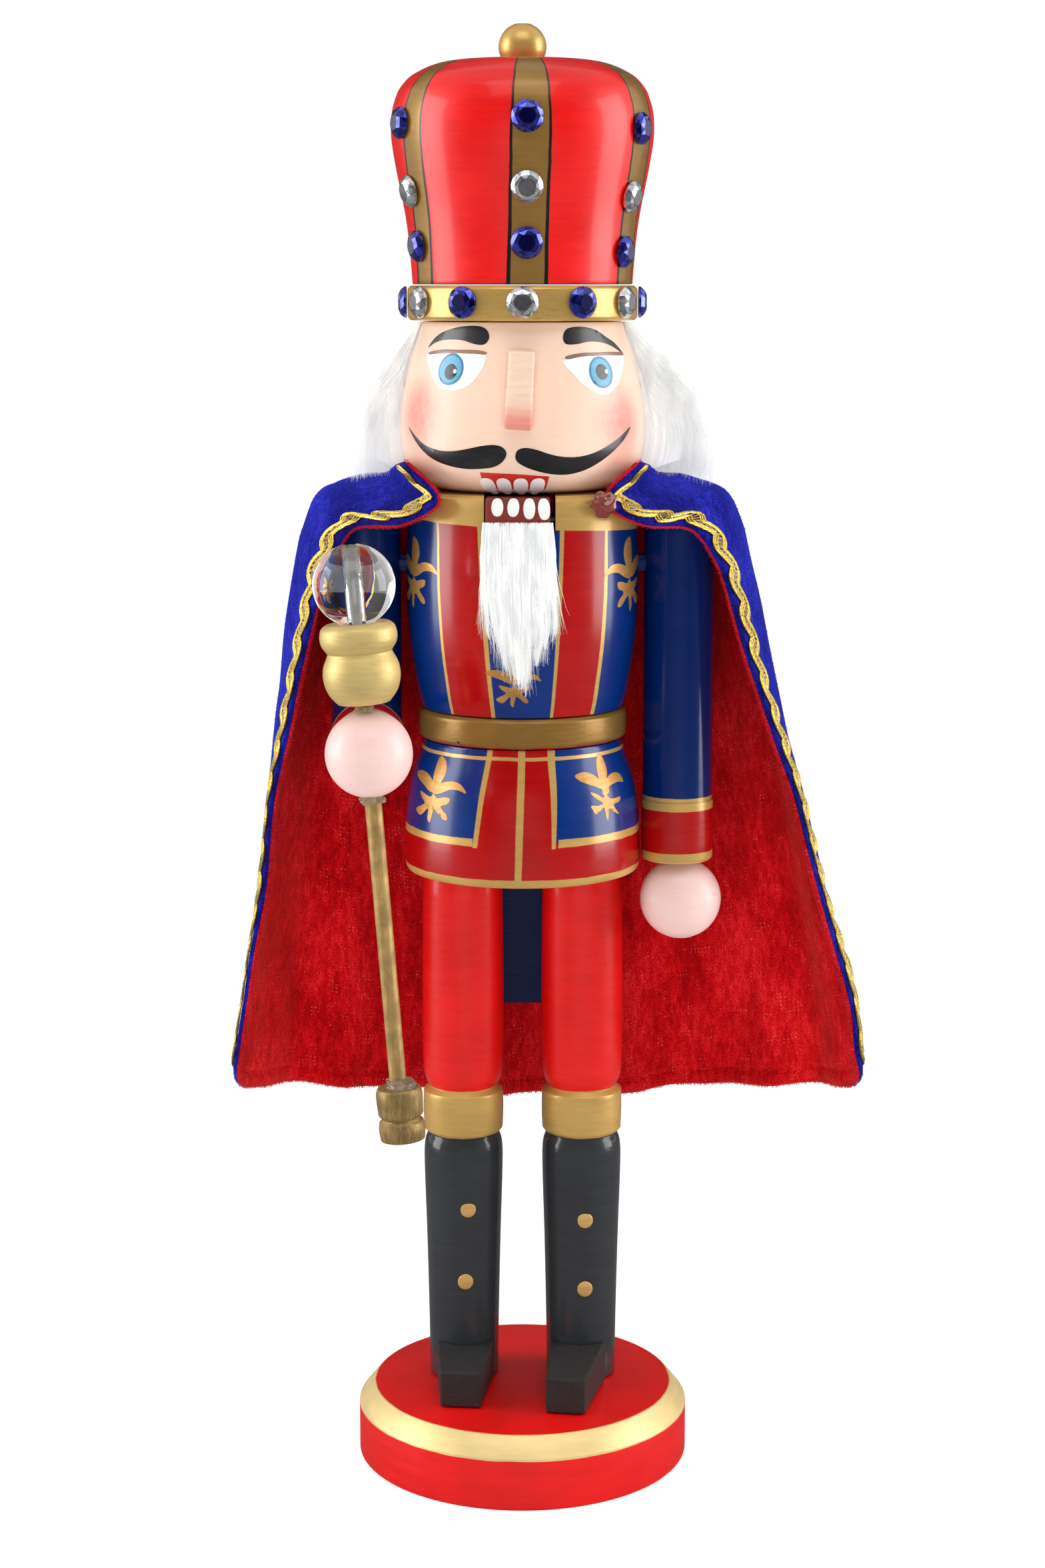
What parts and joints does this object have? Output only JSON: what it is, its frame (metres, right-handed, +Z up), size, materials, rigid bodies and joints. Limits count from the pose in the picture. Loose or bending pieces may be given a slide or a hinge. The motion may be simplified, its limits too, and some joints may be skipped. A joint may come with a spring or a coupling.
{
  "type": "nutcracker figure",
  "caption": "Turned and painted wooden king figure on a round base, with a lever jaw, fleece hair and beard, velvet cape and a sceptre.",
  "frame": {"origin": "centre of the base's underside, on the surface the figure stands on", "axes": "+Z up through the figure, -Y the way it faces, +X towards the figure's own left"},
  "size_m": [0.1752, 0.1161, 0.3811],
  "materials": {
    "red_paint": "satin red paint over turned wood, with gold painted trim",
    "navy_paint": "gloss navy paint over turned wood, with red panels and gold trim",
    "gold_paint": "metallic gold paint over turned wood",
    "gilded_raw_wood": "thin gold paint soaked into bare wood",
    "skin_paint": "satin flesh-coloured paint over turned wood",
    "shoe_black": "matt black paint over sawn wood",
    "jaw_brown": "red-brown paint on the jaw, navy on the tail, over sawn wood",
    "bare_wood": "bare beech dowel",
    "pin_steel": "plain drawn wire",
    "clear_acrylic": "polished clear acrylic",
    "clear_stone": "clear faceted stone with a foil back",
    "blue_stone": "blue faceted stone with a foil back",
    "white_fleece": "long-haired white fleece on a thin backing",
    "velvet": "blue velvet outside, red velvet lining",
    "gold_braid": "metallic gold scroll braid"
  },
  "bodies": {
    "figure": {"base_disc": "red_paint", "left_leg": "red_paint", "right_leg": "red_paint", "tunic_skirt": "red_paint", "crown": "red_paint", "torso": "navy_paint", "left_arm": "navy_paint", "right_upper_arm": "navy_paint", "right_forearm": "navy_paint", "belt": "gold_paint", "crown_band": "gold_paint", "crown_finial": "gold_paint", "sceptre_cup": "gold_paint", "sceptre_rod": "gilded_raw_wood", "sceptre_ferrule": "gilded_raw_wood", "head": "skin_paint", "nose": "skin_paint", "left_hand": "skin_paint", "right_hand": "skin_paint", "left_shoe": "shoe_black", "right_shoe": "shoe_black", "waist_dowel": "bare_wood", "left_shoulder_dowel": "bare_wood", "right_shoulder_dowel": "bare_wood", "right_elbow_dowel": "bare_wood", "pivot_pin": "pin_steel", "sceptre_orb": "clear_acrylic", "hair": "white_fleece", "cape_yoke": "velvet", "band_gem_1": "clear_stone", "band_gem_2": "blue_stone", "band_gem_3": "clear_stone", "band_gem_4": "blue_stone", "band_gem_5": "clear_stone", "band_gem_6": "blue_stone", "band_gem_7": "clear_stone", "band_gem_8": "blue_stone", "band_gem_9": "clear_stone", "band_gem_10": "blue_stone", "band_gem_11": "clear_stone", "band_gem_12": "blue_stone", "rib_1_gem_1": "blue_stone", "rib_1_gem_2": "clear_stone", "rib_1_gem_3": "blue_stone", "rib_2_gem_1": "blue_stone", "rib_2_gem_2": "clear_stone", "rib_2_gem_3": "blue_stone", "rib_3_gem_1": "blue_stone", "rib_3_gem_2": "clear_stone", "rib_3_gem_3": "blue_stone", "rib_4_gem_1": "blue_stone", "rib_4_gem_2": "clear_stone", "rib_4_gem_3": "blue_stone", "rib_5_gem_1": "blue_stone", "rib_5_gem_2": "clear_stone", "rib_5_gem_3": "blue_stone"},
    "lever": {"jaw_lever": "jaw_brown"},
    "beard": {"beard": "white_fleece"},
    "cape": {"cape_drape": "velvet", "cape_braid": "gold_braid"}
  },
  "joints": [
    {"name": "jaw_hinge", "type": "hinge", "parent": "figure", "child": "lever", "pos_m": [0, 0.005, 0.255], "axis": [1, 0, 0], "range_deg": [0, 15]},
    {"name": "beard_swing", "type": "hinge", "parent": "lever", "child": "beard", "pos_m": [-0.0012, -0.032, 0.2565], "axis": [1, 0, 0], "range_deg": [-15, 0]},
    {"name": "cape_swing", "type": "hinge", "parent": "figure", "child": "cape", "pos_m": [0, 0.01, 0.245], "axis": [1, 0, 0], "range_deg": [0, 15]}
  ],
  "couplings": [
    {"joint": "beard_swing", "follows": "jaw_hinge", "ratio": -1},
    {"joint": "cape_swing", "follows": "jaw_hinge", "ratio": 1}
  ]
}
